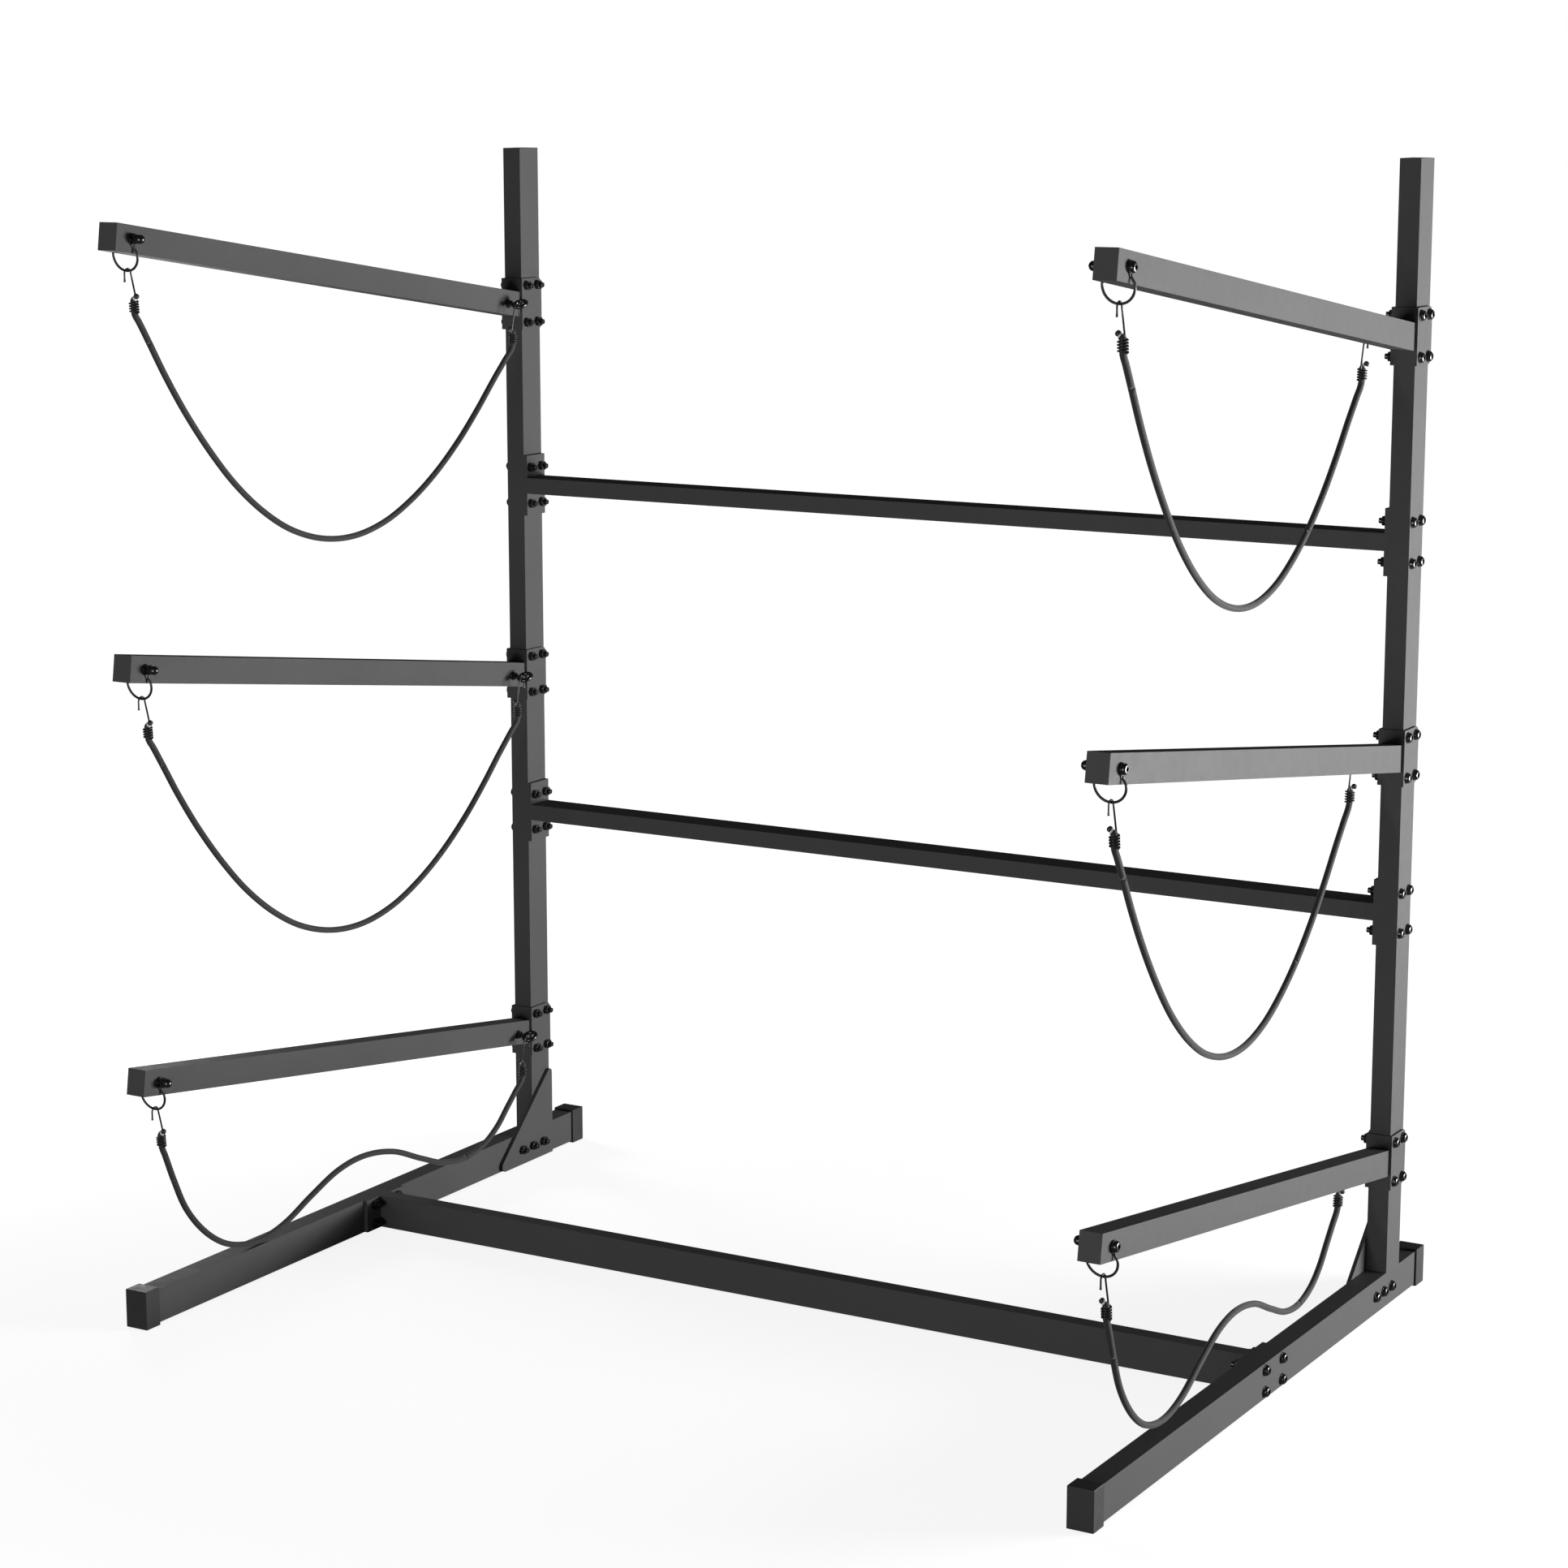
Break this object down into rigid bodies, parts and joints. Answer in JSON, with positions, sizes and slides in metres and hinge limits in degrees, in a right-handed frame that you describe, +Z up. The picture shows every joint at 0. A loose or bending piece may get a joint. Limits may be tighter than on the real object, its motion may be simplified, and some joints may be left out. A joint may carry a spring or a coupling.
{
  "type": "kayak rack",
  "caption": "Freestanding rack: two uprights on long feet joined by crossbars, rows of sloping arms, and a hooked elastic sling cord under each arm.",
  "frame": {"origin": "on the floor, under the centre of the rack's bounding box", "axes": "+X to the right unit as seen from the arms' side, +Y from the arms' tips to the uprights, +Z up"},
  "size_m": [1.5322, 1.122, 1.635],
  "materials": {
    "powder_coat": "matte dark grey powder coat with a fine texture",
    "cap_plastic": "matte black moulded plastic",
    "black_steel": "black plated steel, half gloss",
    "cord_braid": "tight dark grey braid over a rubber core"
  },
  "bodies": {
    "rack": {"left_upright": "powder_coat", "right_upright": "powder_coat", "left_foot": "powder_coat", "right_foot": "powder_coat", "left_front_cap": "cap_plastic", "left_rear_cap": "cap_plastic", "right_front_cap": "cap_plastic", "right_rear_cap": "cap_plastic", "left_gusset": "powder_coat", "right_gusset": "powder_coat", "upper_crossbar": "powder_coat", "middle_crossbar": "powder_coat", "floor_crossbar": "powder_coat", "left_top_arm": "powder_coat", "left_middle_arm": "powder_coat", "left_bottom_arm": "powder_coat", "right_top_arm": "powder_coat", "right_middle_arm": "powder_coat", "right_bottom_arm": "powder_coat", "bracket_bolts": "black_steel", "bracket_washers": "black_steel", "bracket_nuts": "black_steel", "crossbar_bolts": "black_steel", "crossbar_washers": "black_steel", "crossbar_nuts": "black_steel", "gusset_bolts": "black_steel", "gusset_washers": "black_steel", "gusset_nuts": "black_steel", "tip_bolts": "black_steel", "tip_washers": "black_steel", "tip_nuts": "black_steel", "eye_bolts": "black_steel", "eye_washers": "black_steel", "eye_nuts": "black_steel", "left_top_cord": "cord_braid", "left_middle_cord": "cord_braid", "left_bottom_cord": "cord_braid", "right_top_cord": "cord_braid", "right_middle_cord": "cord_braid", "right_bottom_cord": "cord_braid"},
    "left_top_bail": {"left_top_bail": "black_steel"},
    "left_middle_bail": {"left_middle_bail": "black_steel"},
    "left_bottom_bail": {"left_bottom_bail": "black_steel"},
    "right_top_bail": {"right_top_bail": "black_steel"},
    "right_middle_bail": {"right_middle_bail": "black_steel"},
    "right_bottom_bail": {"right_bottom_bail": "black_steel"},
    "left_top_front_hook": {"left_top_front_hook": "black_steel"},
    "left_middle_front_hook": {"left_middle_front_hook": "black_steel"},
    "left_bottom_front_hook": {"left_bottom_front_hook": "black_steel"},
    "right_top_front_hook": {"right_top_front_hook": "black_steel"},
    "right_middle_front_hook": {"right_middle_front_hook": "black_steel"},
    "right_bottom_front_hook": {"right_bottom_front_hook": "black_steel"},
    "left_top_rear_hook": {"left_top_rear_hook": "black_steel"},
    "left_middle_rear_hook": {"left_middle_rear_hook": "black_steel"},
    "left_bottom_rear_hook": {"left_bottom_rear_hook": "black_steel"},
    "right_top_rear_hook": {"right_top_rear_hook": "black_steel"},
    "right_middle_rear_hook": {"right_middle_rear_hook": "black_steel"},
    "right_bottom_rear_hook": {"right_bottom_rear_hook": "black_steel"}
  },
  "joints": [
    {"name": "left_top_bail_swing", "type": "hinge", "parent": "rack", "child": "left_top_bail", "pos_m": [-0.74, -0.51321, 1.52847], "axis": [1, 0, 0], "range_deg": [-58, 30], "deforming": ["left_top_cord"]},
    {"name": "left_top_front_hook_swing", "type": "hinge", "parent": "left_top_bail", "child": "left_top_front_hook", "pos_m": [-0.74, -0.50599, 1.48533], "axis": [1, 0, 0], "range_deg": [-60, 15], "deforming": ["left_top_cord"]},
    {"name": "left_top_rear_hook_swing", "type": "hinge", "parent": "rack", "child": "left_top_rear_hook", "pos_m": [-0.7015, 0.36913, 1.39169], "axis": [1, 0, 0], "range_deg": [-60, 20], "deforming": ["left_top_cord"]},
    {"name": "left_middle_bail_swing", "type": "hinge", "parent": "rack", "child": "left_middle_bail", "pos_m": [-0.74, -0.51321, 0.94047], "axis": [1, 0, 0], "range_deg": [-58, 30], "deforming": ["left_middle_cord"]},
    {"name": "left_middle_front_hook_swing", "type": "hinge", "parent": "left_middle_bail", "child": "left_middle_front_hook", "pos_m": [-0.74, -0.50599, 0.89733], "axis": [1, 0, 0], "range_deg": [-60, 15], "deforming": ["left_middle_cord"]},
    {"name": "left_middle_rear_hook_swing", "type": "hinge", "parent": "rack", "child": "left_middle_rear_hook", "pos_m": [-0.7015, 0.36913, 0.80369], "axis": [1, 0, 0], "range_deg": [-60, 20], "deforming": ["left_middle_cord"]},
    {"name": "left_bottom_bail_swing", "type": "hinge", "parent": "rack", "child": "left_bottom_bail", "pos_m": [-0.74, -0.51321, 0.35247], "axis": [1, 0, 0], "range_deg": [-58, 30], "deforming": ["left_bottom_cord"]},
    {"name": "left_bottom_front_hook_swing", "type": "hinge", "parent": "left_bottom_bail", "child": "left_bottom_front_hook", "pos_m": [-0.74, -0.50599, 0.30933], "axis": [1, 0, 0], "range_deg": [-60, 15], "deforming": ["left_bottom_cord"]},
    {"name": "left_bottom_rear_hook_swing", "type": "hinge", "parent": "rack", "child": "left_bottom_rear_hook", "pos_m": [-0.7015, 0.36913, 0.21569], "axis": [1, 0, 0], "range_deg": [-60, 20], "deforming": ["left_bottom_cord"]},
    {"name": "right_top_bail_swing", "type": "hinge", "parent": "rack", "child": "right_top_bail", "pos_m": [0.74, -0.51321, 1.52847], "axis": [1, 0, 0], "range_deg": [-58, 30], "deforming": ["right_top_cord"]},
    {"name": "right_top_front_hook_swing", "type": "hinge", "parent": "right_top_bail", "child": "right_top_front_hook", "pos_m": [0.74, -0.50599, 1.48533], "axis": [1, 0, 0], "range_deg": [-60, 15], "deforming": ["right_top_cord"]},
    {"name": "right_top_rear_hook_swing", "type": "hinge", "parent": "rack", "child": "right_top_rear_hook", "pos_m": [0.7015, 0.36913, 1.39169], "axis": [1, 0, 0], "range_deg": [-60, 20], "deforming": ["right_top_cord"]},
    {"name": "right_middle_bail_swing", "type": "hinge", "parent": "rack", "child": "right_middle_bail", "pos_m": [0.74, -0.51321, 0.94047], "axis": [1, 0, 0], "range_deg": [-58, 30], "deforming": ["right_middle_cord"]},
    {"name": "right_middle_front_hook_swing", "type": "hinge", "parent": "right_middle_bail", "child": "right_middle_front_hook", "pos_m": [0.74, -0.50599, 0.89733], "axis": [1, 0, 0], "range_deg": [-60, 15], "deforming": ["right_middle_cord"]},
    {"name": "right_middle_rear_hook_swing", "type": "hinge", "parent": "rack", "child": "right_middle_rear_hook", "pos_m": [0.7015, 0.36913, 0.80369], "axis": [1, 0, 0], "range_deg": [-60, 20], "deforming": ["right_middle_cord"]},
    {"name": "right_bottom_bail_swing", "type": "hinge", "parent": "rack", "child": "right_bottom_bail", "pos_m": [0.74, -0.51321, 0.35247], "axis": [1, 0, 0], "range_deg": [-58, 30], "deforming": ["right_bottom_cord"]},
    {"name": "right_bottom_front_hook_swing", "type": "hinge", "parent": "right_bottom_bail", "child": "right_bottom_front_hook", "pos_m": [0.74, -0.50599, 0.30933], "axis": [1, 0, 0], "range_deg": [-60, 15], "deforming": ["right_bottom_cord"]},
    {"name": "right_bottom_rear_hook_swing", "type": "hinge", "parent": "rack", "child": "right_bottom_rear_hook", "pos_m": [0.7015, 0.36913, 0.21569], "axis": [1, 0, 0], "range_deg": [-60, 20], "deforming": ["right_bottom_cord"]}
  ]
}
